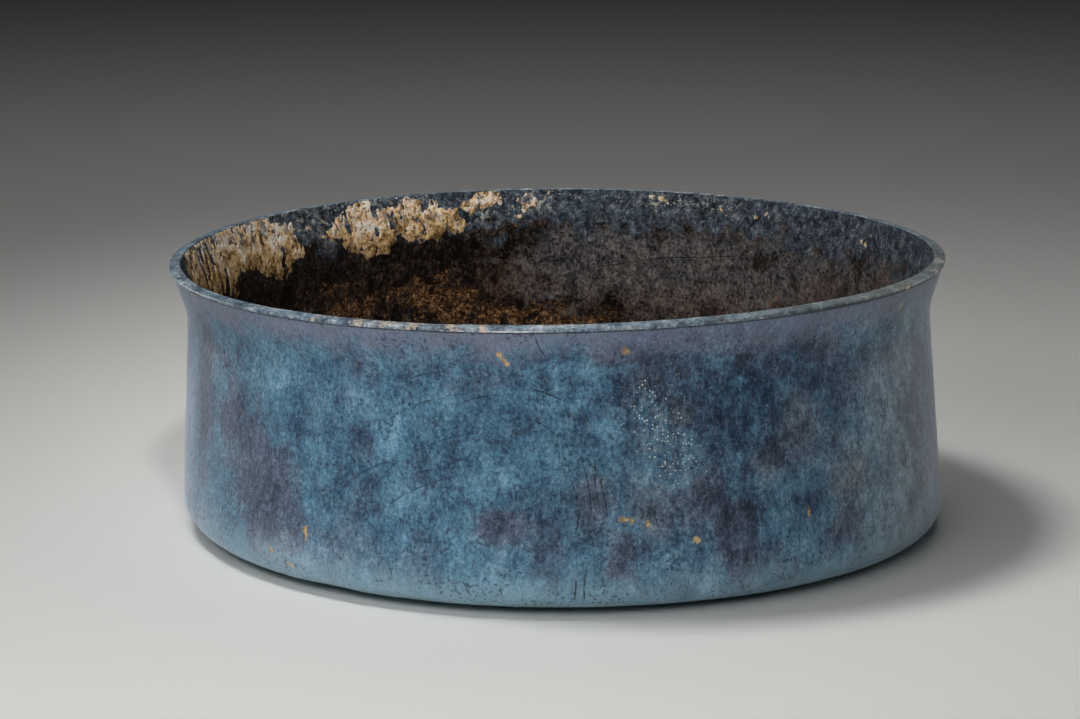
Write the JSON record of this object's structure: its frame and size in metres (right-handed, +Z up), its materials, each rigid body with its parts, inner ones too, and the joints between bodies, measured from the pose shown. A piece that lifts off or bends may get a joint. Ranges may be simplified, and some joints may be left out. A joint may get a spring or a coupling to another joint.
{
  "type": "bronze bowl",
  "caption": "Shallow round bronze bowl with a straight, slightly leaning wall, an outward lip and a gently bellied underside that it stands on. Open and empty.",
  "frame": {"origin": "middle of the flat of the underside that the bowl rests on", "axes": "+Z up along the wall, +Y away from the viewer of the front, +X to the viewer's right"},
  "size_m": [0.2597, 0.2592, 0.0937],
  "materials": {
    "patinated_bronze": "satin blue-grey patina, mottled",
    "crust": "dull earthy crust"
  },
  "bodies": {
    "root": {"bowl": "patinated_bronze"}
  },
  "joints": []
}
